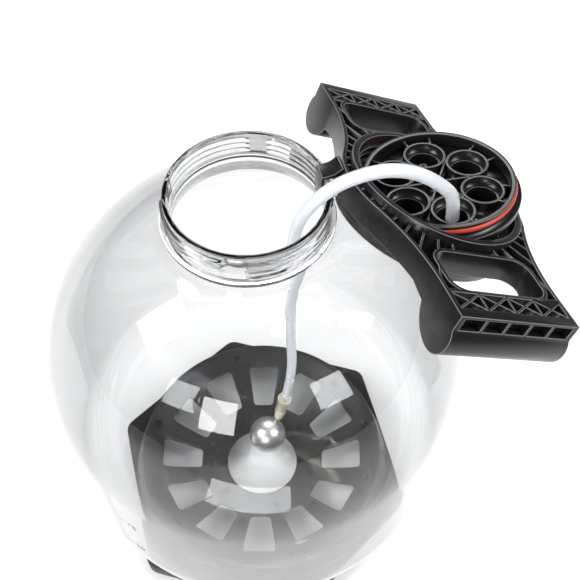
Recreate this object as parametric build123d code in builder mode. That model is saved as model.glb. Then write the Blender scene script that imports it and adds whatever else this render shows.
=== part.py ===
"""Wide-mouth fermenting vessel on its stand, with the lid and the handled lid nut hung on the neck.

Frame: origin on the vessel's axis at floor level, +Z up, +X towards the hung lid. Millimetres.
"""
from build123d import *
from math import acos, atan2, cos, degrees, pi, radians, sin, sqrt, tan
import os

# ---------------------------------------------------------------- driving dimensions
# vessel
BODY_R = 175.0            # outer radius of the blown body
WALL = 1.5
BELLY_LOW, BELLY_HIGH = 150.0, 269.0
DOME_LOW, DOME_HIGH = 130.0, 172.0    # heights of the lower and upper domes
NECK_R, BORE_R = 57.5, 54.0
NECK_TOP = 473.7
NECK_BLEND = 20.0         # inner radius where the neck runs into the dome
COLLAR_R, COLLAR_Z, COLLAR_H = 62.0, 447.7, 3.0
THREAD_PITCH, THREAD_DEPTH, THREAD_Z = 4.9, 2.2, 453.5
THREAD_TURNS, THREAD_SECTORS, SECTOR_SPAN, SECTOR_START = 3, 4, 76.0, -89.0

# stand
HEX_R, HEX_PHASE, HEX_CORNER_R = 164.0, 45.0, 14.0
PLATE = 3.0
FOOT_H, FOOT_R, FOOT_AT = 4.0, 10.0, 144.0
HEX_TOP = 22.0
HOLE_R, SLOT_IN, SLOT_OUT, SLOT_HALF = 38.5, 67.5, 109.0, 9.0
RIDGE_R = 124.0
SLOPE_FOOT_R = 141.0
DIMPLE_R, DIMPLE_LIFT = 6.0, 4.6     # ball-nosed dimples, and how high the ball's centre stands
DIMPLE_ROWS = ((55, 6, HEX_PHASE), (76, 6, 15), (117, 12, 15))    # radius, count, first angle

# lid nut with its two grips: its frame lies on the ring's rim, Z out of the underside
NUT_CENTRE = (133.2, 19.8, 459.2)
NUT_X = (0.284, -0.943, 0.176)
NUT_Z = (0.360, 0.274, 0.891)
RING_R, RING_BORE, RING_H, RING_WEB, RING_HOLE = 65.5, 60.5, 33.0, 3.0, 51.5
NUT_HALF_L, GRIP_HALF_W, BARREL_R = 137.0, 46.0, 71.0
TRAY_Z, TRAY_FLOOR = -5.0, -20.0
OUTLINE_BLEND = 160.0
GRIP_END, GRIP_FOOT = 133.0, -17.0       # outer end of a grip, and where its round lobe starts
LOBE_OUT, LOBE_LOW, LOBE_IN = (135.5, -32.0), (119.0, -42.0), (106.0, -37.0)
PLATE_LOW = ((97.0, -26.0), (82.0, -22.5), (58.0, -23.0), (0.0, -23.0))    # underside, grip to middle
LATTICE_IN, LATTICE_OUT, LATTICE_CELLS, LATTICE_DEPTH = 111.0, 125.0, 4, 22.0
END_POCKETS, END_POCKET_W, END_POCKET_H, END_POCKET_DEPTH = 5, 15.0, 9.0, 7.0
SKIN = 3.0
RIB = 1.6
OPENING_IN, OPENING_OUT, OPENING_HALF_W, OPENING_CORNER = 71.5, 108.0, 37.0, 11.0

# hook over the neck's rim
HOOK_W, HOOK_T, HOOK_ANGLE = 13.0, 2.4, 17.0
HOOK_LEG, HOOK_TOP_GAP = 21.0, 0.6
HOOK_TIP = ((66.0, 0.6), (68.0, 7.0), (66.0, 8.0))    # outer end, bent up against the nut: radius, height

# lid: its frame lies on the plug's rim, Z out of the inner face
LID_CENTRE = (132.8, 21.0, 466.3)
LID_Z = (-0.028, 0.155, 0.988)
LID_TURN = -17.9
PLUG_R, PLUG_WALL, PLUG_H = 53.2, 3.2, 9.0
FLANGE_R, FLANGE_H = 58.0, 4.0
SEAL_R, SEAL_AT, SEAL_GROOVE = 1.75, -4.2, 2.3
FLOOR_TOP = -11.0
PORT_RING, PORT_COUNT = 31.0, 6
CUP_R, CUP_WALL, CUP_TOP = 15.2, 1.7, -3.5
PORT_BORE, SPIGOT_R, SPIGOT_END = 10.85, 12.3, -30.5
PORT_THREAD = 1.2
WASHER_H = 1.0
CAP_R, CAP_BORE, CAP_SKIRT_TOP, CAP_PLATE = 15.0, 13.75, -17.5, 2.2
FLUTES, FLUTE_R = 30, 0.8
PLUG_STEP_R, PLUG_LIP_R, PLUG_DISH_R, PLUG_DIMPLE_R = 10.3, (7.6, 9.2), 6.0, 1.5    # inside a blank cap
RELIEF_HOLE_R, LIQUID_HOLE_R = 9.0, 9.8
BLANK_PORTS = (0, 60, 180, 240)
RELIEF_PORT, LIQUID_PORT = 120, 300
INSERT_R, INSERT_H = 13.1, 1.5

# dip tube and float
TUBE_R, BARB_R = 4.6, 3.2
TUBE_START = -12.0        # the tube's end, deep in its cup
TUBE_RISE = 6.0           # how far it rises straight out of the cup
TUBE_ROUTE = [(128.5, -10, 491), (112, -10.5, 503), (94, -11.5, 507.5), (76.5, -12.5, 504), (60, -14, 496),
              (46, -14.5, 481), (37, -12, 461), (32.5, -2, 432), (31, 8, 375), (30, 16, 315), (30.5, 23, 255),
              (33, 30, 170), (26, 38, 108)]
PICKUP_END = (17.8, 34.8, 64.0)
PICKUP_R = 6.2
BALL_R = 20.0
BALL = (5.9, 22.8, 43.3)

os.makedirs("parts", exist_ok=True)


# ---------------------------------------------------------------- frames and helpers
def polar(radius, degrees, height=0.0):
    """A point at a radius and an angle."""
    return (radius * cos(radians(degrees)), radius * sin(radians(degrees)), height)


def frame(origin, z_dir, x_hint, turn=0.0):
    """A plane at origin with Z along z_dir and X as near to x_hint as it can be, then turned about Z."""
    normal = Vector(*z_dir).normalized()
    hint = Vector(*x_hint)
    across = (hint - normal * hint.dot(normal)).normalized()
    return Plane(origin=origin, x_dir=across.rotate(Axis((0, 0, 0), normal), turn), z_dir=normal)


def beside(plane, x, y, z=0.0):
    """The same plane moved within its own frame."""
    return Plane(origin=plane.from_local_coords(Vector(x, y, z)), x_dir=plane.x_dir, z_dir=plane.z_dir)


def upright(plane, degrees=0.0, y=0.0):
    """The plane that holds Z and the direction at an angle about it: sketch X is radial, sketch Y is Z."""
    radial = plane.x_dir.rotate(Axis((0, 0, 0), plane.z_dir), degrees)
    side = radial.cross(plane.z_dir)
    return Plane(origin=plane.origin - side * y, x_dir=radial, z_dir=side)


def axis_of(plane):
    return Axis(plane.origin, plane.z_dir)


def save(builder, name):
    builder.part.label = name
    export_step(builder.part, f"parts/{name}.step")


def ring_profile(plane, inner, outer, low, high):
    """A rectangle to revolve about the plane's Z."""
    with BuildSketch(upright(plane)) as section:
        with BuildLine():
            Polyline((inner, low), (outer, low), (outer, high), (inner, high), close=True)
        make_face()
    return section.sketch


def dome_z(radius, outer_r, height):
    return height * sqrt(max(0.0, 1 - (radius / outer_r) ** 2))


def thread_ridge(plane, radius, pitch, turns, depth, outward=1):
    """A helical ridge with a 60-degree flank, rooted a little inside the wall it stands on."""
    root = radius - outward * 0.3
    with BuildPart() as ridge:
        with BuildLine() as path:
            Helix(pitch=pitch, height=pitch * turns, radius=root)
        with BuildSketch(Plane(origin=path.line @ 0, x_dir=(outward, 0, 0), z_dir=path.line % 0)):
            with BuildLine():
                Polyline((0, -pitch * 0.36), (depth + 0.3, -pitch * 0.12), (depth + 0.3, pitch * 0.12),
                         (0, pitch * 0.36), close=True)
            make_face()
        sweep(path=path.line, is_frenet=True)
    return plane.from_local_coords(ridge.part)


WORLD = Plane.XY
NUT = frame(NUT_CENTRE, NUT_Z, NUT_X)
LID = frame(LID_CENTRE, LID_Z, (1, 0, 0), LID_TURN)


def port(angle, z=0.0):
    """The frame of one port of the lid."""
    x, y, _ = polar(PORT_RING, angle)
    return beside(LID, x, y, z)


# ---------------------------------------------------------------- vessel
def vessel_section(outer_r, wall):
    """Half section of the vessel's outside (wall 0) or of the space inside it."""
    low, high = DOME_LOW - wall, DOME_HIGH - wall
    neck = BORE_R if wall else NECK_R
    top = NECK_TOP + (5 if wall else 0)
    shoulder = BELLY_HIGH + dome_z(neck, outer_r, high)
    with BuildSketch(Plane.XZ) as section:
        with BuildLine():
            EllipticalCenterArc((0, BELLY_LOW), outer_r, low, start_angle=-90, arc_size=90)
            Line((outer_r, BELLY_LOW), (outer_r, BELLY_HIGH))
            EllipticalCenterArc((0, BELLY_HIGH), outer_r, high, start_angle=0,
                                arc_size=degrees(acos(neck / outer_r)))
            Polyline((neck, shoulder), (neck, top), (0, top), (0, BELLY_LOW - low))
        make_face()
        at_shoulder = section.vertices().sort_by_distance((neck, shoulder, 0))[0]    # in the sketch's own X and Y
        fillet(at_shoulder, NECK_BLEND if wall else NECK_BLEND - (NECK_R - BORE_R))
    return section.sketch


with BuildPart() as vessel:
    revolve(vessel_section(BODY_R, 0), axis=Axis.Z)
    revolve(ring_profile(WORLD, NECK_R - 1, COLLAR_R, COLLAR_Z, COLLAR_Z + COLLAR_H), axis=Axis.Z)
    for turn in range(THREAD_TURNS):
        for sector in range(THREAD_SECTORS):
            start = SECTOR_START + sector * 360 / THREAD_SECTORS
            height = THREAD_Z + THREAD_PITCH * (turn + sector / THREAD_SECTORS)
            sector_frame = frame((0, 0, height), (0, 0, 1), polar(1, start))
            add(thread_ridge(sector_frame, NECK_R, THREAD_PITCH, SECTOR_SPAN / 360, THREAD_DEPTH))
    revolve(vessel_section(BODY_R - WALL, WALL), axis=Axis.Z, mode=Mode.SUBTRACT)
save(vessel, "vessel")

# ---------------------------------------------------------------- stand
def seat_z(radius, gap=0.0):
    """Height of the vessel's underside at a radius, less a gap."""
    return BELLY_LOW - dome_z(radius, BODY_R, DOME_LOW) - gap


with BuildPart() as stand:
    # hexagonal skirt with a flat rim
    with BuildSketch(Plane.XY.offset(FOOT_H)) as hexagon:
        RegularPolygon(HEX_R, 6, rotation=HEX_PHASE)
        fillet(hexagon.vertices(), HEX_CORNER_R)
    extrude(amount=HEX_TOP - FOOT_H)
    with BuildSketch(Plane.XY.offset(FOOT_H)) as inside:
        RegularPolygon(HEX_R - PLATE, 6, rotation=HEX_PHASE)
        fillet(inside.vertices(), HEX_CORNER_R - PLATE)
    extrude(amount=HEX_TOP - PLATE - FOOT_H, mode=Mode.SUBTRACT)
    with BuildSketch(Plane.XY.offset(FOOT_H)):
        Circle(SLOPE_FOOT_R - PLATE)
    extrude(amount=HEX_TOP, mode=Mode.SUBTRACT)
    # the slope up to the ridge and the dished seat, one shell
    with BuildSketch(Plane.XZ) as shell:
        with BuildLine():
            seat = [(r, seat_z(r, 0.1)) for r in (HOLE_R, 67, 96, RIDGE_R)]
            under = [(r, seat_z(r, 0.1) - PLATE) for r in (RIDGE_R - 2, 96, 67, HOLE_R)]
            Spline(*seat)
            Polyline(seat[-1], (RIDGE_R + 5, seat[-1][1] + 1.5), (SLOPE_FOOT_R, HEX_TOP),
                     (SLOPE_FOOT_R, HEX_TOP - PLATE), (SLOPE_FOOT_R - PLATE - 1, HEX_TOP - PLATE),
                     (RIDGE_R + 2, seat[-1][1] - PLATE), under[0])
            Spline(*under)
            Line(under[-1], seat[0])
        make_face()
    revolve(axis=Axis.Z)
    # twelve tapered slots and the round dimples between them
    with BuildSketch(Plane.XY) as slots:
        with BuildSketch(Plane.XY, mode=Mode.PRIVATE) as slot:
            with BuildLine():
                Polyline(*(polar(r, sign * SLOT_HALF)[:2]
                           for r, sign in ((SLOT_IN, -1), (SLOT_OUT, -1), (SLOT_OUT, 1), (SLOT_IN, 1))),
                         close=True)
            make_face()
            fillet(slot.vertices(), 4)
        with PolarLocations(0, 12):
            add(slot.sketch)
    extrude(amount=HEX_TOP + 60, mode=Mode.SUBTRACT)
    for radius, count, phase in DIMPLE_ROWS:
        lean = atan2(seat_z(radius + 1) - seat_z(radius - 1), 2)
        with Locations((0, 0, seat_z(radius, 0.1) + DIMPLE_LIFT * cos(lean))):
            with PolarLocations(radius - DIMPLE_LIFT * sin(lean), count, start_angle=phase):
                Sphere(DIMPLE_R, mode=Mode.SUBTRACT)
save(stand, "stand")

with BuildPart() as stand_feet:
    with BuildSketch(Plane.XY):
        with PolarLocations(FOOT_AT, 6, start_angle=HEX_PHASE):
            Circle(FOOT_R)
    extrude(amount=FOOT_H)
    with BuildSketch(Plane.XY.offset(FOOT_H)):
        with PolarLocations(FOOT_AT, 6, start_angle=HEX_PHASE):
            Circle(FOOT_R - 3)
    extrude(amount=HEX_TOP - PLATE - FOOT_H)
save(stand_feet, "stand_feet")

# ---------------------------------------------------------------- lid nut and its hook
def barrel(plane, inset=0.0):
    """The nut's outline: a long plate swelling to a round middle."""
    with BuildSketch(plane) as outline:
        Rectangle(2 * (NUT_HALF_L - inset), 2 * (GRIP_HALF_W - inset))
        Circle(BARREL_R - inset)
        necks = [v for v in outline.vertices() if abs(v.X) < BARREL_R and abs(v.Y) > 1]
        fillet(necks, OUTLINE_BLEND)
    return outline.sketch


def openings(plane, grow=0.0):
    """Both finger openings."""
    length = OPENING_OUT - OPENING_IN + 2 * grow
    with BuildSketch(plane) as windows:
        with Locations(*((side * (OPENING_IN + OPENING_OUT) / 2, 0) for side in (-1, 1))):
            RectangleRounded(length, 2 * (OPENING_HALF_W + grow), OPENING_CORNER + grow)
    return windows.sketch


def pockets(plane):
    """What is hollow between the ring, the side walls and the openings, less the radial ribs."""
    with BuildSketch(plane) as tray:
        add(barrel(Plane.XY, SKIN))
        Rectangle(2 * OPENING_OUT, 4 * BARREL_R, mode=Mode.INTERSECT)
        Circle(RING_R, mode=Mode.SUBTRACT)
        add(openings(Plane.XY, SKIN), mode=Mode.SUBTRACT)
        for angle in range(15, 90, 9):
            for direction in (angle, 180 - angle, 180 + angle, -angle):
                with Locations(Location(polar(RING_R + 20, direction), (0, 0, direction))):
                    Rectangle(60, RIB, mode=Mode.SUBTRACT)
    return tray.sketch


def lattice(plane, x_low, x_high, cells):
    """Triangular pockets of a grip: square cells crossed by their diagonals."""
    pitch = 2 * (GRIP_HALF_W - SKIN) / cells
    with BuildSketch(plane) as braced:
        with Locations(((x_low + x_high) / 2, 0)):
            Rectangle(x_high - x_low, cells * pitch - RIB)
        for cell in range(cells):
            middle = (cell + 0.5 - cells / 2) * pitch
            for lean in (-1, 1):
                run = Vector(x_high - x_low, lean * pitch)
                heading = Vector(1, 0).get_signed_angle(run)
                spot = Location(((x_low + x_high) / 2, middle), (0, 0, heading))
                with Locations(spot):
                    Rectangle(run.length, RIB, mode=Mode.SUBTRACT)
            with Locations(((x_low + x_high) / 2, middle + pitch / 2)):
                Rectangle(x_high - x_low, RIB, mode=Mode.SUBTRACT)
    return braced.sketch


with BuildPart() as handle:
    add(extrude(barrel(NUT.offset(-60)), amount=60, dir=NUT.z_dir, mode=Mode.PRIVATE))
    with BuildSketch(upright(NUT)) as side_view:
        with BuildLine():
            Polyline((0, TRAY_Z), (GRIP_END, TRAY_Z), (GRIP_END, GRIP_FOOT))
            ThreePointArc((GRIP_END, GRIP_FOOT), LOBE_OUT, LOBE_LOW)
            ThreePointArc(LOBE_LOW, LOBE_IN, PLATE_LOW[0])
            Polyline(*PLATE_LOW, (0, TRAY_Z))
        make_face()
        mirror(about=Plane.YZ)
    extrude(amount=2 * BARREL_R, both=True, mode=Mode.INTERSECT)
    revolve(ring_profile(NUT, 0, RING_R, -RING_H, 0), axis=axis_of(NUT))
    extrude(pockets(NUT.offset(TRAY_Z)), amount=TRAY_FLOOR - TRAY_Z, dir=NUT.z_dir, mode=Mode.SUBTRACT)
    extrude(openings(NUT.offset(-60)), amount=60, dir=NUT.z_dir, mode=Mode.SUBTRACT)
    # ring bore, its web and lead-in
    revolve(ring_profile(NUT, 0, RING_BORE, -RING_H + RING_WEB, 1), axis=axis_of(NUT), mode=Mode.SUBTRACT)
    revolve(ring_profile(NUT, 0, RING_HOLE, -RING_H - 1, 1), axis=axis_of(NUT), mode=Mode.SUBTRACT)
    add(thread_ridge(NUT.offset(-21), RING_BORE, THREAD_PITCH, 3, 2.0, outward=-1))
    # grips: braced underside, and a row of pockets in each outer end
    for side in (-1, 1):
        x_low, x_high = sorted((side * LATTICE_IN, side * LATTICE_OUT))
        extrude(lattice(NUT.offset(TRAY_Z), x_low, x_high, LATTICE_CELLS), amount=-LATTICE_DEPTH,
                dir=NUT.z_dir, mode=Mode.SUBTRACT)
        with BuildSketch(NUT.offset(GRIP_FOOT + 1)):
            with GridLocations(0, END_POCKET_W + 2.2, 1, END_POCKETS):
                with Locations((side * (GRIP_END - 2.5), 0)):
                    Rectangle(END_POCKET_DEPTH, END_POCKET_W)
        extrude(amount=END_POCKET_H, mode=Mode.SUBTRACT)
save(handle, "handle")

with BuildPart() as rim_hook:
    hook_frame = frame((0, 0, NECK_TOP), (0, 0, 1), polar(1, HOOK_ANGLE))
    with BuildSketch(upright(hook_frame)):
        with BuildLine():
            inner, outer = BORE_R - 1 - HOOK_T, BORE_R - 1
            under, over = HOOK_TOP_GAP, HOOK_TOP_GAP + HOOK_T
            Polyline((inner, -HOOK_LEG), (outer, -HOOK_LEG), (outer, under), *HOOK_TIP,
                     (60, over + 0.8), (inner + 1, over), (inner, over - 1), close=True)
        make_face()
    extrude(amount=HOOK_W / 2, both=True)
save(rim_hook, "rim_hook")

# ---------------------------------------------------------------- lid
with BuildPart() as lid_disc:
    revolve(ring_profile(LID, PLUG_R - PLUG_WALL, PLUG_R, -PLUG_H - 1, 0), axis=axis_of(LID))
    revolve(ring_profile(LID, 0, FLANGE_R, -PLUG_H - FLANGE_H, -PLUG_H), axis=axis_of(LID))
    revolve(ring_profile(LID, 0, PLUG_R - 1, FLOOR_TOP - 2, -PLUG_H), axis=axis_of(LID), mode=Mode.SUBTRACT)
    revolve(ring_profile(LID, 0, PLUG_R, -PLUG_H - FLANGE_H, FLOOR_TOP), axis=axis_of(LID))
    with BuildSketch(LID.offset(FLOOR_TOP - 0.5)):
        # ribs: pairs from each cup to the rim, and spokes from the centre boss between the cups
        for step in range(PORT_COUNT):
            for lean in (-11, 11):
                direction = step * 60 + lean
                with Locations(Location(polar(46.5, direction), (0, 0, direction))):
                    Rectangle(9, 1.3)
            with Locations(Location(polar(14, step * 60 + 30), (0, 0, step * 60 + 30))):
                Rectangle(18, 1.3)
        Circle(4.5)
        with PolarLocations(PORT_RING, PORT_COUNT):
            Circle(CUP_R)
    extrude(amount=CUP_TOP - FLOOR_TOP)
    for step in range(PORT_COUNT):
        here = port(step * 60)
        revolve(ring_profile(here, 0, SPIGOT_R, SPIGOT_END, FLOOR_TOP - 1), axis=axis_of(here))
        add(thread_ridge(here.offset(SPIGOT_END + 2.5), SPIGOT_R, 2.7, 2, PORT_THREAD))
        revolve(ring_profile(here, 0, CUP_R - CUP_WALL, FLOOR_TOP, 1), axis=axis_of(here), mode=Mode.SUBTRACT)
        revolve(ring_profile(here, 0, PORT_BORE, SPIGOT_END - 1, 1), axis=axis_of(here), mode=Mode.SUBTRACT)
    revolve(ring_profile(LID, 0, 1.4, CUP_TOP - 3, 0), axis=axis_of(LID), mode=Mode.SUBTRACT)
    revolve(ring_profile(LID, PLUG_R - SEAL_GROOVE, PLUG_R + 1, SEAL_AT - 1.9, SEAL_AT + 1.9),
            axis=axis_of(LID), mode=Mode.SUBTRACT)
save(lid_disc, "lid_disc")

with BuildPart() as lid_seal:
    with BuildSketch(upright(LID)):
        with Locations((PLUG_R - SEAL_GROOVE + SEAL_R + 0.02, SEAL_AT)):
            Circle(SEAL_R)
    revolve(axis=axis_of(LID))
save(lid_seal, "lid_seal")

with BuildPart() as port_seals:
    for step in range(PORT_COUNT):
        here = port(step * 60)
        revolve(ring_profile(here, PORT_BORE, INSERT_R, SPIGOT_END - WASHER_H, SPIGOT_END), axis=axis_of(here))
save(port_seals, "port_seals")


# ---------------------------------------------------------------- port caps
CAP_FACE = SPIGOT_END - WASHER_H


def fluted_cap(here, plate_top, hole_r=0.0):
    """A screw cap: fluted skirt and end plate, open at its middle for a fitting."""
    with BuildPart() as cap:
        with BuildSketch(here.offset(plate_top - CAP_PLATE)) as outline:
            Circle(CAP_R)
            with PolarLocations(CAP_R + 0.25, FLUTES):
                Circle(FLUTE_R, mode=Mode.SUBTRACT)
        extrude(amount=CAP_SKIRT_TOP - plate_top + CAP_PLATE)
        revolve(ring_profile(here, 0, CAP_BORE, plate_top, CAP_SKIRT_TOP + 1), axis=axis_of(here),
                mode=Mode.SUBTRACT)
        if hole_r:
            revolve(ring_profile(here, 0, hole_r, plate_top - CAP_PLATE - 1, plate_top + 1),
                    axis=axis_of(here), mode=Mode.SUBTRACT)
    return cap


for number, angle in enumerate(BLANK_PORTS, 1):
    here = port(angle)
    with BuildPart() as blank_cap:
        add(fluted_cap(here, CAP_FACE).part)
        # stepped plug that stands a little way into the port, with a dimple at its centre
        revolve(ring_profile(here, 0, PLUG_STEP_R, CAP_FACE - 0.5, CAP_FACE + 2), axis=axis_of(here))
        revolve(ring_profile(here, *PLUG_LIP_R, CAP_FACE + 1, CAP_FACE + 3.4), axis=axis_of(here))
        revolve(ring_profile(here, 0, PLUG_DISH_R, CAP_FACE + 1, CAP_FACE + 3), axis=axis_of(here),
                mode=Mode.SUBTRACT)
        revolve(ring_profile(here, 0, PLUG_DIMPLE_R, CAP_FACE - 0.6, CAP_FACE + 3), axis=axis_of(here),
                mode=Mode.SUBTRACT)
    save(blank_cap, f"blank_cap_{number}")

COLLAR_PLATE_TOP = CAP_FACE - INSERT_H - 0.2
LIQUID_STEM_R = 9.4
for angle, hole_r, name in ((RELIEF_PORT, RELIEF_HOLE_R, "relief_collar"), (LIQUID_PORT, LIQUID_HOLE_R, "liquid_collar")):
    save(fluted_cap(port(angle), COLLAR_PLATE_TOP, hole_r), name)

# ---------------------------------------------------------------- relief valve
RELIEF = port(RELIEF_PORT)
NOSE_Z, RELIEF_END, CHAMBER_R, STEM_R, SEAT_Z = -14.0, -45.0, 5.6, 1.6, -22.0
with BuildPart() as relief_body:
    with BuildSketch(upright(RELIEF)):
        with BuildLine():
            # a cone with a small hole looks into the vessel; a tube outside holds the spring
            Polyline((1.3, NOSE_Z), (2.8, NOSE_Z), (10.2, CAP_FACE + 3), (10.2, CAP_FACE), (INSERT_R, CAP_FACE),
                     (INSERT_R, CAP_FACE - INSERT_H), (8.6, CAP_FACE - INSERT_H), (8.6, RELIEF_END),
                     (STEM_R + 0.3, RELIEF_END), (STEM_R + 0.3, RELIEF_END + 2), (CHAMBER_R, RELIEF_END + 2),
                     (CHAMBER_R, SEAT_Z - 4), (1.3, SEAT_Z - 2), close=True)
        make_face()
    revolve(axis=axis_of(RELIEF))
save(relief_body, "relief_body")

POPPET_TOP = SEAT_Z - 4.3
with BuildPart() as relief_stem:
    revolve(ring_profile(RELIEF, 0, CHAMBER_R - 0.4, POPPET_TOP - 2, POPPET_TOP), axis=axis_of(RELIEF))
    revolve(ring_profile(RELIEF, 0, STEM_R, RELIEF_END - 6, POPPET_TOP - 1), axis=axis_of(RELIEF))
    with BuildSketch(upright(RELIEF)):
        with Locations((0, RELIEF_END - 7)):
            Circle(3.2)
            Circle(1.5, mode=Mode.SUBTRACT)
    extrude(amount=1.2, both=True)
save(relief_stem, "relief_stem")

with BuildPart() as relief_ring:
    # split ring through the stem's eye, hanging below it
    ring_frame = frame(RELIEF.origin + RELIEF.z_dir * (RELIEF_END - 7), RELIEF.x_dir, (0, 0, 1))
    with BuildSketch(upright(beside(ring_frame, -8.0, 0), 0)):
        with Locations((8.0, 0)):
            Circle(0.9)
    revolve(axis=axis_of(beside(ring_frame, -8.0, 0)))
save(relief_ring, "relief_ring")


def coil_spring(here, radius, wire, low, high, turns):
    """A helical compression spring between two heights."""
    with BuildPart() as coil:
        with BuildLine() as path:
            Helix(pitch=(high - low) / turns, height=high - low, radius=radius)
        with BuildSketch(Plane(origin=path.line @ 0, z_dir=path.line % 0)):
            Circle(wire)
        sweep(path=path.line, is_frenet=True)
    with BuildPart() as spring:
        add(here.offset(low).from_local_coords(coil.part))
    return spring


save(coil_spring(RELIEF, 3.9, 0.5, RELIEF_END + 2.8, POPPET_TOP - 2.8, 6), "relief_spring")

# ---------------------------------------------------------------- liquid post
LIQUID = port(LIQUID_PORT)
POST_END, POST_BORE, POPPET_R = -57.0, 4.4, 3.4
with BuildPart() as liquid_post:
    with BuildSketch(upright(LIQUID)):
        with BuildLine():
            # barb for the tube, flange held by the collar, and a grooved post for a push-on disconnect
            Polyline((1.8, -2), (BARB_R, -2.6), (BARB_R, CAP_FACE + 6), (5.5, CAP_FACE + 3), (10.2, CAP_FACE + 3),
                     (10.2, CAP_FACE), (INSERT_R, CAP_FACE), (INSERT_R, CAP_FACE - INSERT_H),
                     (LIQUID_STEM_R, CAP_FACE - INSERT_H), (LIQUID_STEM_R, -44), (8.6, -45), (8.6, -48),
                     (LIQUID_STEM_R, -49), (LIQUID_STEM_R, -51.2), (7.3, -51.2), (7.3, -53.8),
                     (LIQUID_STEM_R, -53.8), (8.6, POST_END), (POPPET_R + 0.3, POST_END), (POPPET_R + 0.3, -54),
                     (5.0, -52.5), (5.0, -40), (1.8, -38), close=True)
        make_face()
    revolve(axis=axis_of(LIQUID))
save(liquid_post, "liquid_post")

with BuildPart() as post_seal:
    with BuildSketch(upright(LIQUID)):
        with Locations((8.35, -52.5)):
            Circle(1.0)
    revolve(axis=axis_of(LIQUID))
save(post_seal, "post_seal")

with BuildPart() as liquid_poppet:
    revolve(ring_profile(LIQUID, 0, POPPET_R, POST_END + 0.5, -52), axis=axis_of(LIQUID))
    revolve(ring_profile(LIQUID, 0, 4.4, -52, -50.4), axis=axis_of(LIQUID))
save(liquid_poppet, "liquid_poppet")
save(coil_spring(LIQUID, 3.3, 0.45, -49.4, -41.2, 5), "liquid_spring")

# ---------------------------------------------------------------- dip tube, pickup and float
start = LIQUID.origin + LIQUID.z_dir * TUBE_START
route = [start, LIQUID.origin + LIQUID.z_dir * TUBE_RISE] + [Vector(*point) for point in TUBE_ROUTE]
runs = [b - a for a, b in zip(route, route[1:])]
turns = [a.get_angle(b) for a, b in zip(runs, runs[1:])]
radii = [0.45 * min(a.length, b.length) / tan(radians(turn) / 2) for a, b, turn in zip(runs, runs[1:], turns)]
print("tube runs", [round(run.length) for run in runs], "radii", [round(radius) for radius in radii])
with BuildPart() as dip_tube:
    with BuildLine() as tube_line:
        FilletPolyline(*route, radius=radii)
    with BuildSketch(Plane(origin=start, z_dir=LIQUID.z_dir)) as tube_section:
        Circle(TUBE_R)
    sweep(tube_section.sketch, path=tube_line.line)
tube_length = sum(edge.length for edge in tube_line.edges())
print("tube length", round(tube_length, 1), "volume", round(dip_tube.part.volume), "expected",
      round(tube_length * pi * TUBE_R ** 2))
save(dip_tube, "dip_tube")

pickup_top, pickup_end = route[-1], Vector(*PICKUP_END)
pickup_length = (pickup_end - pickup_top).length
PICKUP = frame(pickup_top, pickup_end - pickup_top, (1, 0, 0))
with BuildPart() as float_pickup:
    with BuildSketch(upright(PICKUP)):
        with BuildLine():
            # socket over the tube, a stop collar, a barrel and a rounded inlet end
            Polyline((0, 0), (5.4, 0), (5.4, 6), (7.4, 6), (7.4, 9), (PICKUP_R, 9), (PICKUP_R, pickup_length - 12),
                     (5.0, pickup_length - 8), (5.0, pickup_length - 2), (4.0, pickup_length), (0, pickup_length),
                     close=True)
        make_face()
    revolve(axis=axis_of(PICKUP))
    revolve(ring_profile(PICKUP, 0, 3.2, pickup_length - 14, pickup_length + 1), axis=axis_of(PICKUP),
            mode=Mode.SUBTRACT)
save(float_pickup, "float_pickup")

BALL_CENTRE = Vector(*BALL)
LINK = frame(BALL_CENTRE, pickup_end - BALL_CENTRE, (0, 0, 1))
with BuildPart() as float_link:
    # stub welded on the ball, with a head caught in the pickup's end
    revolve(ring_profile(LINK, 0, 1.2, BALL_R - 0.1, (pickup_end - BALL_CENTRE).length + 3), axis=axis_of(LINK))
save(float_link, "float_link")

with BuildPart() as float_ball:
    with Locations(Location(BALL)):
        Sphere(BALL_R)
        Sphere(BALL_R - 0.6, mode=Mode.SUBTRACT)
save(float_ball, "float_ball")
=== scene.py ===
"""Clear fermenting vessel on its stand, with its lid, lid nut, dip tube and float hung on the neck."""
from math import acos, cos, pi, radians, sin

import bmesh
import bpy
from mathutils import Matrix, Vector


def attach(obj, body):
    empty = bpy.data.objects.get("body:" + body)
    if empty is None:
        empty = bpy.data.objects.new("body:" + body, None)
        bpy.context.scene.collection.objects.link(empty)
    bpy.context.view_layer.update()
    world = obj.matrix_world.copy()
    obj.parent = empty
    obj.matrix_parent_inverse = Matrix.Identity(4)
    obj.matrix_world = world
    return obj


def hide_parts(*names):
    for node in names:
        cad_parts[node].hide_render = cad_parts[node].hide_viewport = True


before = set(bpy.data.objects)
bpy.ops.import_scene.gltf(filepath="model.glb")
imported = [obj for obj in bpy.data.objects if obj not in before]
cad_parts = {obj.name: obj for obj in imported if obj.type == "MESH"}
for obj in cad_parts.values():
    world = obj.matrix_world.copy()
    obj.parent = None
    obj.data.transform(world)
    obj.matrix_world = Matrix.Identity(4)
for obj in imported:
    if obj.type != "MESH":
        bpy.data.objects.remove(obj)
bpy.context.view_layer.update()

MM = 0.001
STAND_BODY = "vessel_on_stand"
LID_BODY = "hung_lid"


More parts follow.
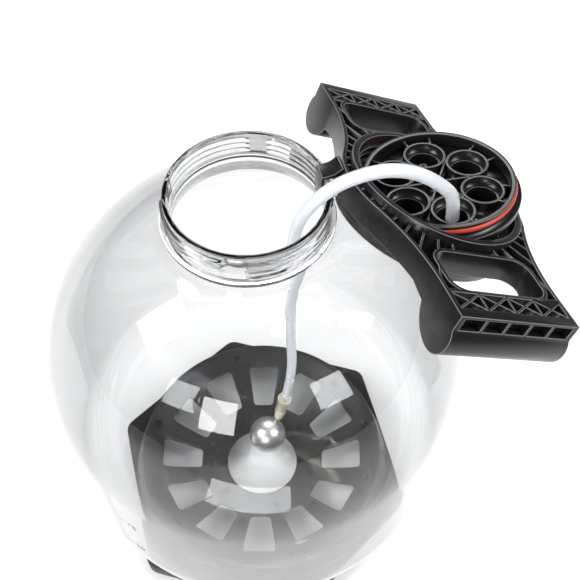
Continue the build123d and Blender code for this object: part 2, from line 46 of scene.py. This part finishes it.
# ---------------------------------------------------------------- camera and light
CAMERA_PLACE = (0.02967, -0.37678, 0.89609)
CAMERA_DIP = radians(55.035)     # how far the view looks down
CAMERA_ROLL = radians(0.357)
CAMERA_LENS, CAMERA_SENSOR = 51.77, 36
AMBIENT, ROOM_IN_GLOSS = 0.62, 0.10    # world strength for soft light, and as reflections see it
LIGHTS_AIM = (0, 0, 0.25)
SOFTBOXES = (    # name, place, width, height, watts
    ("left_softbox", (-1.25, -0.35, 1.55), 0.55, 0.8, 15),
    ("right_softbox", (1.3, -0.2, 1.45), 0.5, 0.8, 12),
    ("back_softbox", (0.1, 1.35, 1.45), 1.1, 0.5, 14),
    ("front_softbox", (-0.45, -1.5, 1.0), 0.5, 0.5, 8),
)


def make_camera():
    ahead = Vector((0, cos(CAMERA_DIP), -sin(CAMERA_DIP)))
    level = Vector((1, 0, 0))
    above = Vector((0, sin(CAMERA_DIP), cos(CAMERA_DIP)))
    right = cos(CAMERA_ROLL) * level + sin(CAMERA_ROLL) * above
    up = cos(CAMERA_ROLL) * above - sin(CAMERA_ROLL) * level
    camera = bpy.data.objects.new("camera", bpy.data.cameras.new("camera"))
    camera.data.lens = CAMERA_LENS
    camera.data.sensor_width = CAMERA_SENSOR
    turn = Matrix((right, up, -ahead)).transposed().to_4x4()
    camera.matrix_world = Matrix.Translation(CAMERA_PLACE) @ turn
    bpy.context.scene.collection.objects.link(camera)
    bpy.context.scene.camera = camera


def softbox(name, place, width, height, watts):
    """A rectangular studio light that faces the vessel."""
    lamp = bpy.data.lights.new(name, "AREA")
    lamp.shape = "RECTANGLE"
    lamp.size, lamp.size_y = width, height
    lamp.energy = watts
    box = bpy.data.objects.new(name, lamp)
    place = Vector(place)
    aim = (Vector(LIGHTS_AIM) - place).to_track_quat("-Z", "Y")
    box.matrix_world = Matrix.Translation(place) @ aim.to_matrix().to_4x4()
    bpy.context.scene.collection.objects.link(box)


def make_light():
    """A dim room round the object and bright softboxes, so that clear walls show dark edges and white panels."""
    world = bpy.data.worlds.new("studio")
    world.use_nodes = True
    tree = world.node_tree
    background = tree.nodes["Background"]
    background.inputs["Color"].default_value = (1, 1, 1, 1)
    ray = tree.nodes.new("ShaderNodeLightPath")
    strength = tree.nodes.new("ShaderNodeMapRange")
    strength.inputs["To Min"].default_value = AMBIENT
    strength.inputs["To Max"].default_value = ROOM_IN_GLOSS
    tree.links.new(ray.outputs["Is Glossy Ray"], strength.inputs["Value"])
    tree.links.new(strength.outputs["Result"], background.inputs["Strength"])
    bpy.context.scene.world = world
    for box in SOFTBOXES:
        softbox(*box)
    bpy.context.scene.view_settings.view_transform = "Standard"


# ---------------------------------------------------------------- materials
BUMP_DEPTH = 0.0002
GRAZING_BLEND = 0.32      # how far the painted edge shade of a clear wall spreads from where it is seen edge on
DULLER = 1.6              # a clear plastic's roughest patches, against its smoothest
STEEL_DARKER = 0.93


def new_group(name, inputs, outputs):
    """An empty shader group with float inputs (name, default) and float outputs."""
    group = bpy.data.node_groups.new(name, "ShaderNodeTree")
    for label, value in inputs:
        socket = group.interface.new_socket(name=label, in_out="INPUT", socket_type="NodeSocketFloat")
        socket.default_value = value
    for label in outputs:
        group.interface.new_socket(name=label, in_out="OUTPUT", socket_type="NodeSocketFloat")
    return group, group.nodes.new("NodeGroupInput"), group.nodes.new("NodeGroupOutput")


def noise(tree, coordinates, detail=3.0):
    node = tree.nodes.new("ShaderNodeTexNoise")
    node.inputs["Detail"].default_value = detail
    tree.links.new(coordinates, node.inputs["Vector"])
    return node


def spread(tree, value, low, high):
    """Maps a 0 to 1 value to a range; low and high are sockets or numbers."""
    node = tree.nodes.new("ShaderNodeMapRange")
    tree.links.new(value, node.inputs["Value"])
    for label, limit in (("To Min", low), ("To Max", high)):
        if isinstance(limit, (int, float)):
            node.inputs[label].default_value = limit
        else:
            tree.links.new(limit, node.inputs[label])
    return node.outputs["Result"]


def make_moulded_finish():
    """Fine spark-eroded grain, and slow changes of sheen over a moulding."""
    group, given, result = new_group(
        "moulded_finish",
        [("Grain Scale", 2200.0), ("Patch Scale", 30.0), ("Roughness Low", 0.3), ("Roughness High", 0.45)],
        ["Roughness", "Height", "Patch"],
    )
    place = group.nodes.new("ShaderNodeTexCoord").outputs["Object"]
    grain = noise(group, place)
    patch = noise(group, place, detail=2.0)
    group.links.new(given.outputs["Grain Scale"], grain.inputs["Scale"])
    group.links.new(given.outputs["Patch Scale"], patch.inputs["Scale"])
    sheen = spread(group, patch.outputs["Fac"], given.outputs["Roughness Low"], given.outputs["Roughness High"])
    group.links.new(sheen, result.inputs["Roughness"])
    group.links.new(grain.outputs["Fac"], result.inputs["Height"])
    group.links.new(patch.outputs["Fac"], result.inputs["Patch"])
    return group


MOULDED = make_moulded_finish()


def moulded(name, colour, lighter, roughness, grain=2200.0, bump=0.08, painted_light_bands=(), **sockets):
    """An injection-moulded or rubber finish: colour drifts between two tones, with grain and patchy sheen.

    Each entry is a face attribute and the tone painted there: a paler painted highlight on eased edges, a darker
    painted shade in recesses.
    """
    material = bpy.data.materials.new(name)
    material.use_nodes = True
    tree = material.node_tree
    shader = tree.nodes["Principled BSDF"]
    finish = tree.nodes.new("ShaderNodeGroup")
    finish.node_tree = MOULDED
    finish.inputs["Grain Scale"].default_value = grain
    finish.inputs["Roughness Low"].default_value = roughness[0]
    finish.inputs["Roughness High"].default_value = roughness[1]
    tone = tree.nodes.new("ShaderNodeMix")
    tone.data_type = "RGBA"
    tone.inputs["A"].default_value = (*colour, 1)
    tone.inputs["B"].default_value = (*lighter, 1)
    tree.links.new(finish.outputs["Patch"], tone.inputs["Factor"])
    surface = tone.outputs["Result"]
    # each entry paints light or shade: a highlight or shade tone over the faces its attribute marks
    for attribute, painted_tone in painted_light_bands:
        painted_light_mask = tree.nodes.new("ShaderNodeAttribute")
        painted_light_mask.attribute_name = attribute
        toned = tree.nodes.new("ShaderNodeMix")
        toned.data_type = "RGBA"
        toned.inputs["B"].default_value = (*painted_tone, 1)
        tree.links.new(painted_light_mask.outputs["Fac"], toned.inputs["Factor"])
        tree.links.new(surface, toned.inputs["A"])
        surface = toned.outputs["Result"]
    tree.links.new(surface, shader.inputs["Base Color"])
    tree.links.new(finish.outputs["Roughness"], shader.inputs["Roughness"])
    relief = tree.nodes.new("ShaderNodeBump")
    relief.inputs["Strength"].default_value = bump
    relief.inputs["Distance"].default_value = BUMP_DEPTH
    tree.links.new(finish.outputs["Height"], relief.inputs["Height"])
    tree.links.new(relief.outputs["Normal"], shader.inputs["Normal"])
    for label, value in sockets.items():
        shader.inputs[label.replace("_", " ")].default_value = value
    return material


def clear_plastic(name, colour, roughness, ior, ripple, ripple_scale,
                  shadow=0.93, painted_rim_shade=None, solidity=0.0):
    """A see-through plastic with slow ripples and a pale shadow; given a grey, its colour turns to that grey where
    the wall is seen edge on, a painted edge shade.
    """
    material = moulded(name, colour, colour, (roughness, roughness * DULLER), grain=ripple_scale, bump=ripple,
                       Transmission_Weight=1.0 - solidity, IOR=ior)
    tree = material.node_tree
    shader = tree.nodes["Principled BSDF"]
    output = tree.nodes["Material Output"]
    # painted shade: the colour greys towards where the wall is seen edge on
    if painted_rim_shade is not None:
        grazing = tree.nodes.new("ShaderNodeLayerWeight")
        grazing.inputs["Blend"].default_value = GRAZING_BLEND
        tint = tree.nodes.new("ShaderNodeMix")
        tint.data_type = "RGBA"
        tint.inputs["A"].default_value = (*colour, 1)
        tint.inputs["B"].default_value = (*painted_rim_shade, 1)
        tree.links.new(grazing.outputs["Facing"], tint.inputs["Factor"])
        tree.links.new(tint.outputs["Result"], shader.inputs["Base Color"])
    path = tree.nodes.new("ShaderNodeLightPath")
    pale = tree.nodes.new("ShaderNodeBsdfTransparent")
    pale.inputs["Color"].default_value = (shadow, shadow, shadow, 1)
    blend = tree.nodes.new("ShaderNodeMixShader")
    tree.links.new(path.outputs["Is Shadow Ray"], blend.inputs["Fac"])
    tree.links.new(shader.outputs["BSDF"], blend.inputs[1])
    tree.links.new(pale.outputs["BSDF"], blend.inputs[2])
    tree.links.new(blend.outputs["Shader"], output.inputs["Surface"])
    return material


def metal(name, colour, roughness, grain):
    """Stainless steel with a fine grain, a little darker in patches."""
    darker = tuple(channel * STEEL_DARKER for channel in colour)
    return moulded(name, colour, darker, roughness, grain=grain, bump=0.05, Metallic=1.0)


# The paler tone on the eased edges of the black mouldings is a painted highlight.
BLACK = moulded("satin_black_moulding", (0.006, 0.006, 0.007), (0.013, 0.013, 0.014), (0.22, 0.36),
                painted_light_bands=[("painted_edge_highlight", (0.16, 0.16, 0.165))])
CAP_BLACK = moulded("black_cap_moulding", (0.008, 0.008, 0.009), (0.016, 0.016, 0.017), (0.2, 0.32),
                    painted_light_bands=[("painted_edge_highlight", (0.06, 0.06, 0.062))])
# The stand's dimples take a darker painted shade.
STAND_BLACK = moulded("black_stand_moulding", (0.007, 0.007, 0.008), (0.016, 0.016, 0.017), (0.34, 0.5),
                      painted_light_bands=[("painted_edge_highlight", (0.05, 0.05, 0.052)), ("painted_dimple_shade", (0.0015, 0.0015, 0.0015))])
FOOT_RUBBER = moulded("foot_rubber", (0.015, 0.015, 0.015), (0.025, 0.025, 0.025), (0.6, 0.8), bump=0.2)
SEAL_BLACK = moulded("black_seal_rubber", (0.012, 0.012, 0.012), (0.02, 0.02, 0.02), (0.4, 0.55))
RED = moulded("red_seal_silicone", (0.60, 0.045, 0.02), (0.70, 0.08, 0.04), (0.28, 0.4), grain=900.0)
ORANGE = moulded("orange_moulding", (0.86, 0.30, 0.035), (0.92, 0.38, 0.06), (0.26, 0.38))
STEEL = metal("bright_stainless", (0.72, 0.72, 0.72), (0.14, 0.22), 1500.0)
BALL_STEEL = metal("satin_stainless", (0.80, 0.80, 0.81), (0.34, 0.42), 900.0)
PET = clear_plastic("clear_blown_pet", (0.92, 0.925, 0.93), 0.0, 1.45, 0.015, 60.0, painted_rim_shade=(0.42, 0.43, 0.44))
SILICONE = clear_plastic("milky_silicone", (0.93, 0.95, 0.98), 0.2, 1.35, 0.04, 500.0, shadow=0.75, solidity=0.38)
AMBER = clear_plastic("yellowish_pickup_plastic", (0.94, 0.90, 0.74), 0.18, 1.4, 0.05, 500.0,
                      shadow=0.75, solidity=0.25)
INK = moulded("grey_scale_ink", (0.10, 0.10, 0.11), (0.14, 0.14, 0.15), (0.5, 0.6))


# ---------------------------------------------------------------- shared mesh helpers
MERGE = 1e-6
FLAT_WITHIN, CORNER_FROM = radians(0.6), radians(38)     # faces that join as one, and edges that are eased
EDGE_SEGMENTS = 2
SHORTEST_EASED = 0.6      # edges shorter than this share of the eased width stay sharp


def link(name, mesh, material=None):
    """A scene object for a mesh, with one material if given."""
    piece = bpy.data.objects.new(name, mesh)
    bpy.context.scene.collection.objects.link(piece)
    if material:
        mesh.materials.clear()
        mesh.materials.append(material)
    return piece


def smooth(mesh, sharp_from=35):
    """Shades a mesh smooth, apart from edges sharper than an angle in degrees."""
    mesh.shade_smooth()
    mesh.set_sharp_from_angle(angle=radians(sharp_from))


def settle(piece):
    """Turns a piece's modifiers into plain mesh."""
    graph = bpy.context.evaluated_depsgraph_get()
    done = bpy.data.meshes.new_from_object(piece.evaluated_get(graph), depsgraph=graph)
    piece.modifiers.clear()
    old = piece.data
    piece.data = done
    if isinstance(old, bpy.types.Mesh):
        bpy.data.meshes.remove(old)


def finished_copy(name, node, body, material, edge_mm):
    """A node's own shape with its edges eased, so that they catch the light as moulded edges do."""
    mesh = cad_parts[node].data.copy()
    shape = bmesh.new()
    shape.from_mesh(mesh)
    bmesh.ops.remove_doubles(shape, verts=shape.verts, dist=MERGE)
    bmesh.ops.dissolve_limit(shape, angle_limit=FLAT_WITHIN, verts=shape.verts, edges=shape.edges)
    # The eased faces are marked for a painted highlight, paler than the rest of the moulding.
    painted_light_mask = shape.faces.layers.float.new("painted_edge_highlight")
    if edge_mm:
        corners = [edge for edge in shape.edges if edge.is_manifold and edge.is_convex
                   and edge.calc_face_angle() > CORNER_FROM and edge.calc_length() > SHORTEST_EASED * edge_mm * MM]
        eased = bmesh.ops.bevel(shape, geom=corners, offset=edge_mm * MM, offset_type="OFFSET",
                                segments=EDGE_SEGMENTS, profile=0.5, affect="EDGES", clamp_overlap=False,
                                material=-1)
        for face in eased["faces"]:
            face[painted_light_mask] = 1.0
    bmesh.ops.triangulate(shape, faces=[face for face in shape.faces if len(face.verts) > 4])
    shape.to_mesh(mesh)
    shape.free()
    piece = link(name, mesh, material)
    smooth(piece.data)
    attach(piece, body)
    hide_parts(node)
    return piece


def lathe(profile, columns, radius_change=None):
    """A closed shell turned about Z from an outline of (radius, height) that starts and ends on the axis."""
    shape = bmesh.new()
    poles = [shape.verts.new((0, 0, profile[0][1] * MM)), shape.verts.new((0, 0, profile[-1][1] * MM))]
    rows = []
    for number, (radius, height) in enumerate(profile[1:-1]):
        row = []
        for column in range(columns):
            angle = 2 * pi * column / columns
            r = radius + (radius_change(number, height, angle) if radius_change else 0)
            row.append(shape.verts.new((r * cos(angle) * MM, r * sin(angle) * MM, height * MM)))
        rows.append(row)
    for column in range(columns):
        after = (column + 1) % columns
        shape.faces.new((poles[0], rows[0][after], rows[0][column]))
        shape.faces.new((poles[1], rows[-1][column], rows[-1][after]))
        for low, high in zip(rows, rows[1:]):
            shape.faces.new((low[column], low[after], high[after], high[column]))
    mesh = bpy.data.meshes.new("lathe")
    shape.to_mesh(mesh)
    shape.free()
    return mesh


# ---------------------------------------------------------------- vessel
BODY_R, WALL = 175.0, 1.5
BELLY_LOW, BELLY_HIGH = 150.0, 269.0
DOME_LOW, DOME_HIGH = 130.0, 172.0
NECK_R, BORE_R, NECK_TOP = 57.5, 54.0, 473.7
NECK_BLEND = 20.0        # inner radius where the neck runs into the dome
BLEND_REACH = 0.7        # how far along each wall the blend reaches, as a share of its radius
LOW_STEPS, HIGH_STEPS, VESSEL_COLUMNS = 40, 56, 288
THREAD_ROWS, THREAD_ROW_RISE, THREAD_ROWS_START = 65, 0.3, 0.9
COLLAR_R, COLLAR_Z, COLLAR_H = 62.0, 447.7, 3.0
COLLAR_EASE, COLLAR_FOOT = 0.6, 0.8
RIM_EASE = ((0, 0.8), (0.3, 0.2), (0.9, 0))     # in from the wall, down from the top
THREAD_PITCH, THREAD_DEPTH, THREAD_Z = 4.9, 2.2, 453.5
THREAD_TURNS, THREAD_SECTORS, SECTOR_SPAN, SECTOR_START = 3, 4, 76.0, -89.0
THREAD_FOOT, THREAD_FLANK = 0.36, 0.24      # half the foot's width and one flank, as shares of the pitch
THREAD_RUN_OUT = 2.5                        # degrees over which each sector's end fades


def dome(radius, height, neck, steps, upper):
    """Points up a quarter ellipse: from the belly to the neck, or from the pole to the belly."""
    if upper:
        last = acos(neck / radius)
        return [(radius * cos(last * k / steps), BELLY_HIGH + height * sin(last * k / steps))
                for k in range(steps + 1)]
    return [(radius * cos(pi / 2 * (1 - k / steps)), BELLY_LOW - height * sin(pi / 2 * (1 - k / steps)))
            for k in range(steps + 1)]


def neck_blend(before, last, neck, radius, steps=10):
    """Points of the curve that carries the dome up into the neck's wall."""
    slope = (last[1] - before[1]) / (before[0] - last[0])
    corner = last[1] + slope * (last[0] - neck)
    top = corner + radius * BLEND_REACH
    points = []
    for k in range(1, steps + 1):
        t = k / steps
        points.append(((1 - t) ** 2 * last[0] + 2 * t * (1 - t) * neck + t ** 2 * neck,
                       (1 - t) ** 2 * last[1] + 2 * t * (1 - t) * corner + t ** 2 * top))
    return points


def thread_height(height, angle):
    """How far the interrupted thread stands out of the neck at a height and an angle."""
    turned = (angle * 180 / pi - SECTOR_START) % 360
    sector = int(turned // (360 / THREAD_SECTORS))
    within = turned - sector * 360 / THREAD_SECTORS
    if within > SECTOR_SPAN:
        return 0.0
    base = THREAD_Z + THREAD_PITCH * (sector / THREAD_SECTORS + within / 360)
    nearest = min(abs(height - base - THREAD_PITCH * turn) for turn in range(THREAD_TURNS))
    flank = min(1.0, max(0.0, (THREAD_FOOT * THREAD_PITCH - nearest) / (THREAD_FLANK * THREAD_PITCH)))
    run_out = min(1.0, within / THREAD_RUN_OUT, (SECTOR_SPAN - within) / THREAD_RUN_OUT)
    return THREAD_DEPTH * flank * run_out


def make_vessel():
    outer_blend = NECK_BLEND - (NECK_R - BORE_R)
    outside = (dome(BODY_R, DOME_LOW, 0, LOW_STEPS, False)
               + dome(BODY_R, DOME_HIGH, NECK_R + outer_blend * BLEND_REACH, HIGH_STEPS, True))
    blend = neck_blend(outside[-2], outside[-1], NECK_R, outer_blend)
    collar_top = COLLAR_Z + COLLAR_H
    foot, edge = NECK_R + COLLAR_FOOT, COLLAR_R - COLLAR_EASE
    collar = [(NECK_R, COLLAR_Z - COLLAR_EASE), (foot, COLLAR_Z), (edge, COLLAR_Z),
              (COLLAR_R, COLLAR_Z + COLLAR_EASE), (COLLAR_R, collar_top - COLLAR_EASE), (edge, collar_top),
              (foot, collar_top), (NECK_R, collar_top + COLLAR_EASE)]
    thread_rows = [(NECK_R, collar_top + THREAD_ROWS_START + THREAD_ROW_RISE * k) for k in range(THREAD_ROWS)]
    rim = ([(NECK_R - inwards, NECK_TOP - down) for inwards, down in RIM_EASE]
           + [(BORE_R + inwards, NECK_TOP - down) for inwards, down in reversed(RIM_EASE)])
    inside_high = dome(BODY_R - WALL, DOME_HIGH - WALL, BORE_R + NECK_BLEND * BLEND_REACH, HIGH_STEPS, True)
    inside_high = (inside_high + neck_blend(inside_high[-2], inside_high[-1], BORE_R, NECK_BLEND))[::-1]
    inside_low = dome(BODY_R - WALL, DOME_LOW - WALL, 0, LOW_STEPS, False)[::-1]
    outline = outside + blend + collar + thread_rows + rim + inside_high + inside_low
    low, high = thread_rows[0][1], thread_rows[-1][1]
    outer_rows = len(outside + blend + collar + thread_rows)

    def thread(number, height, angle):
        on_outside = number < outer_rows
        return thread_height(height, angle) if on_outside and low <= height <= high else 0.0

    shell = link("vessel_shell", lathe(outline, VESSEL_COLUMNS, thread), PET)
    smooth(shell.data, 60)
    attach(shell, STAND_BODY)
    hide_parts("vessel")


# ---------------------------------------------------------------- volume scale
SCALE_ANGLE = radians(-132)
FIRST_LITRE, NUMBERED_LITRES = 9, (10, 15)
FIRST_MARK_Z, LITRE_RISE = 159.5, 10.57      # the first mark, and the rise of each litre in the belly
MARKS = 11
SHORT_MARK, LONG_MARK, MARK_THICKNESS = 8, 15, 0.9
NUMBER_SIZE, NUMBER_DROP, NUMBER_START = 11, 3.8, 17
INK_LIFT = 0.12


def tick_tree():
    """Geometry nodes: short bars in a column, one for each litre."""
    tree = bpy.data.node_groups.new("litre_ticks", "GeometryNodeTree")
    tree.interface.new_socket(name="Geometry", in_out="OUTPUT", socket_type="NodeSocketGeometry")
    for label, kind in (("Count", "NodeSocketInt"), ("Rise", "NodeSocketFloat"), ("Length", "NodeSocketFloat"),
                        ("Thickness", "NodeSocketFloat"), ("Ink", "NodeSocketMaterial")):
        tree.interface.new_socket(name=label, in_out="INPUT", socket_type=kind)
    given, result = tree.nodes.new("NodeGroupInput"), tree.nodes.new("NodeGroupOutput")
    column = tree.nodes.new("GeometryNodeMeshLine")
    step = tree.nodes.new("ShaderNodeCombineXYZ")
    bar = tree.nodes.new("GeometryNodeMeshGrid")
    bar.inputs["Vertices X"].default_value = 9
    bar.inputs["Vertices Y"].default_value = 2
    place = tree.nodes.new("GeometryNodeInstanceOnPoints")
    real = tree.nodes.new("GeometryNodeRealizeInstances")
    paint = tree.nodes.new("GeometryNodeSetMaterial")
    for source, target in (
        (given.outputs["Count"], column.inputs["Count"]), (given.outputs["Rise"], step.inputs["Y"]),
        (step.outputs["Vector"], column.inputs["Offset"]), (given.outputs["Length"], bar.inputs["Size X"]),
        (given.outputs["Thickness"], bar.inputs["Size Y"]), (column.outputs["Mesh"], place.inputs["Points"]),
        (bar.outputs["Mesh"], place.inputs["Instance"]), (place.outputs["Instances"], real.inputs["Geometry"]),
        (real.outputs["Geometry"], paint.inputs["Geometry"]), (given.outputs["Ink"], paint.inputs["Material"]),
        (paint.outputs["Geometry"], result.inputs["Geometry"]),
    ):
        tree.links.new(source, target)
    return tree


def wrap_on_belly(mesh, x_start):
    """Lays a flat drawing, X along the girth and Y up, on the vessel's belly."""
    radius = (BODY_R + INK_LIFT) * MM
    for vertex in mesh.vertices:
        angle = SCALE_ANGLE + (vertex.co.x + x_start) / radius
        vertex.co = (radius * cos(angle), radius * sin(angle), vertex.co.y)


def make_volume_scale():
    marks = []
    for name, count, rise, length, first in (("litre_marks", MARKS, 1, SHORT_MARK, 0),
                                             ("five_litre_marks", 2, 5, LONG_MARK, 1)):
        piece = link(name, bpy.data.meshes.new(name))
        ticks = piece.modifiers.new("ticks", "NODES")
        ticks.node_group = tick_tree()
        values = {"Count": count, "Rise": rise * LITRE_RISE * MM, "Length": length * MM,
                  "Thickness": MARK_THICKNESS * MM, "Ink": INK}
        for item in ticks.node_group.interface.items_tree:
            if item.name in values:
                ticks[item.identifier] = values[item.name]
        settle(piece)
        piece.data.transform(Matrix.Translation((length / 2 * MM, (FIRST_MARK_Z + first * LITRE_RISE) * MM, 0)))
        wrap_on_belly(piece.data, 0)
        marks.append(piece)
    for litres in NUMBERED_LITRES:
        words = bpy.data.curves.new(f"litres_{litres}", "FONT")
        words.body = str(litres)
        words.size = NUMBER_SIZE * MM
        label = bpy.data.objects.new(f"litres_{litres}", words)
        bpy.context.scene.collection.objects.link(label)
        graph = bpy.context.evaluated_depsgraph_get()
        drawn = bpy.data.meshes.new_from_object(label.evaluated_get(graph), depsgraph=graph)
        bpy.data.objects.remove(label)
        height = FIRST_MARK_Z + (litres - FIRST_LITRE) * LITRE_RISE - NUMBER_DROP
        drawn.transform(Matrix.Translation((0, height * MM, 0)))
        wrap_on_belly(drawn, NUMBER_START * MM)
        marks.append(link(f"number_{litres}", drawn, INK))
    for piece in marks:
        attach(piece, STAND_BODY)


# ---------------------------------------------------------------- dip tube and float
TUBE_R, TUBE_BORE_R = 4.6, 3.2
TUBE_POINTS = [(0.13963, -0.01078, 0.45933), (0.13913, -0.00799, 0.47711), (0.1285, -0.010, 0.491),
               (0.112, -0.0105, 0.503), (0.094, -0.0115, 0.5075), (0.0765, -0.0125, 0.504), (0.060, -0.014, 0.496),
               (0.046, -0.0145, 0.481), (0.037, -0.012, 0.461), (0.0325, -0.002, 0.432), (0.031, 0.008, 0.375),
               (0.030, 0.016, 0.315), (0.0305, 0.023, 0.255), (0.033, 0.030, 0.170), (0.026, 0.038, 0.108)]
BALL, BALL_R = (5.9, 22.8, 43.3), 20.0
BALL_STEPS, BALL_COLUMNS, BALL_LEAN = 64, 96, radians(28)
SEAM_RISE, SEAM_DIP, SEAM_HALF = 0.12, 0.06, 1.0     # the welded seam: its crown, its sides, half its width
ROUTE_STEPS = 14


def spline_points(points):
    """Points along the smooth NURBS line that a route controls."""
    curve = bpy.data.curves.new("route", "CURVE")
    curve.dimensions = "3D"
    curve.resolution_u = ROUTE_STEPS
    spline = curve.splines.new("NURBS")
    spline.points.add(len(points) - 1)
    for control, point in zip(spline.points, points):
        control.co = (*point, 1)
    spline.order_u = 3
    spline.use_endpoint_u = True
    carrier = bpy.data.objects.new("route", curve)
    bpy.context.scene.collection.objects.link(carrier)
    graph = bpy.context.evaluated_depsgraph_get()
    line = bpy.data.meshes.new_from_object(carrier.evaluated_get(graph), depsgraph=graph)
    found = [vertex.co.copy() for vertex in line.vertices]
    bpy.data.objects.remove(carrier)
    bpy.data.meshes.remove(line)
    return found


def tube_mesh(path, outer, inner, sides=28):
    """A hollow tube along a path, both walls and both ends closed."""
    shape = bmesh.new()
    ahead = (path[1] - path[0]).normalized()
    across = ahead.orthogonal().normalized()
    rings = []
    for number, point in enumerate(path):
        before, after = path[max(0, number - 1)], path[min(len(path) - 1, number + 1)]
        tangent = (after - before).normalized()
        across = (across - tangent * across.dot(tangent)).normalized()
        side = tangent.cross(across)
        rings.append([[shape.verts.new(point + radius * (cos(2 * pi * k / sides) * across
                                                         + sin(2 * pi * k / sides) * side))
                       for k in range(sides)] for radius in (outer, inner)])
    for k in range(sides):
        n = (k + 1) % sides
        for low, high in zip(rings, rings[1:]):
            shape.faces.new((low[0][k], low[0][n], high[0][n], high[0][k]))
            shape.faces.new((low[1][n], low[1][k], high[1][k], high[1][n]))
        first, last = rings[0], rings[-1]
        shape.faces.new((first[0][n], first[0][k], first[1][k], first[1][n]))
        shape.faces.new((last[0][k], last[0][n], last[1][n], last[1][k]))
    mesh = bpy.data.meshes.new("tube")
    shape.to_mesh(mesh)
    shape.free()
    return mesh


def make_tube_and_float():
    pickup = finished_copy("pickup_fitting", "float_pickup", LID_BODY, AMBER, 0.3)
    stub = finished_copy("float_stub", "float_link", LID_BODY, STEEL, 0.15)
    half = [(BALL_R * sin(pi * k / BALL_STEPS), BALL_R * cos(pi * k / BALL_STEPS)) for k in range(BALL_STEPS + 1)]
    half[0], half[-1] = (0.0, BALL_R), (0.0, -BALL_R)
    middle = BALL_STEPS // 2
    half[middle - 1:middle + 2] = [(BALL_R - SEAM_DIP, SEAM_HALF), (BALL_R + SEAM_RISE, 0.0),
                                   (BALL_R - SEAM_DIP, -SEAM_HALF)]
    ball = link("float_shell", lathe(half[::-1], BALL_COLUMNS), BALL_STEEL)
    ball.data.transform(Matrix.Translation(Vector(BALL) * MM) @ Matrix.Rotation(BALL_LEAN, 4, "X"))
    smooth(ball.data, 50)
    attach(ball, LID_BODY)
    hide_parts("float_ball")
    path = spline_points(TUBE_POINTS)
    tube = link("silicone_tube", tube_mesh(path, TUBE_R * MM, TUBE_BORE_R * MM), SILICONE)
    smooth(tube.data, 60)
    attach(tube, LID_BODY)
    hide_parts("dip_tube")


# ---------------------------------------------------------------- mouldings, caps, seals and metal parts
DIMPLE_ROWS = ((55, 6, 45), (76, 6, 15), (117, 12, 15))      # radius, count, first angle
DIMPLE_MOUTH = 5.0
DIMPLE_FACE = 2e-5      # the largest face that counts as part of a dimple, in square metres


def mark_dimples(stand):
    """Marks the faces inside the seat's round dimples for a painted shade, darker than the plate."""
    turned = [(radius * MM, radians(first + 360 / count * k))
              for radius, count, first in DIMPLE_ROWS for k in range(count)]
    centres = [(radius * cos(angle), radius * sin(angle)) for radius, angle in turned]
    # painted shade: faces inside the dimples get a darker tone in the material
    painted_dimple_shade = stand.data.attributes.new("painted_dimple_shade", "FLOAT", "FACE")
    for face in stand.data.polygons:
        x, y = face.center.xy
        near = any((x - u) ** 2 + (y - v) ** 2 < (DIMPLE_MOUTH * MM) ** 2 for u, v in centres)
        inside = near and face.area < DIMPLE_FACE
        painted_dimple_shade.data[face.index].value = 1.0 if inside else 0.0


def make_hard_parts():
    lid_parts = (    # piece, node, slot, material, width of its eased edges
        ("handle_moulding", "handle", "black", BLACK, 0.4),
        ("neck_hook", "rim_hook", "black", BLACK, 0.4),
        ("lid_moulding", "lid_disc", "black", BLACK, 0.3),
        ("plug_o_ring", "lid_seal", "red_seal", RED, 0),
        ("port_washers", "port_seals", "black_seal", SEAL_BLACK, 0),
        ("relief_housing", "relief_body", "black", BLACK, 0.25),
        ("relief_coil", "relief_spring", "steel", STEEL, 0),
        ("liquid_post_moulding", "liquid_post", "black", BLACK, 0.2),
        ("post_o_ring", "post_seal", "black_seal", SEAL_BLACK, 0),
        ("liquid_coil", "liquid_spring", "steel", STEEL, 0),
    )
    for name, node, slot, material, edge in lid_parts:
        finished_copy(name, node, LID_BODY, material, edge)
    for number in range(1, 5):
        finished_copy(f"fluted_cap_{number}", f"blank_cap_{number}", f"cap_{number}", CAP_BLACK, 0.2)
    finished_copy("relief_nut", "relief_collar", "relief_collar_cap", CAP_BLACK, 0.2)
    finished_copy("liquid_nut", "liquid_collar", "liquid_collar_cap", ORANGE, 0.2)
    finished_copy("relief_stem_pin", "relief_stem", "relief_pull", STEEL, 0.15)
    finished_copy("relief_pull_ring", "relief_ring", "relief_pull", STEEL, 0)
    finished_copy("liquid_poppet_pin", "liquid_poppet", "liquid_valve", STEEL, 0.15)
    mark_dimples(finished_copy("stand_moulding", "stand", STAND_BODY, STAND_BLACK, 0.6))
    finished_copy("rubber_feet", "stand_feet", STAND_BODY, FOOT_RUBBER, 0.6)


# ---------------------------------------------------------------- floor
FLOOR_REACH = 4.0


def make_floor():
    mesh = bpy.data.meshes.new("studio_floor")
    corners = [(x * FLOOR_REACH, y * FLOOR_REACH, 0) for x, y in ((-1, -1), (1, -1), (1, 1), (-1, 1))]
    mesh.from_pydata(corners, [], [(0, 1, 2, 3)])
    floor = link("studio_floor", mesh, moulded("pale_floor", (0.93, 0.93, 0.93), (0.95, 0.95, 0.95), (0.7, 0.8)))


make_camera()
make_tube_and_float()
make_vessel()
make_volume_scale()
make_hard_parts()
make_floor()
make_light()
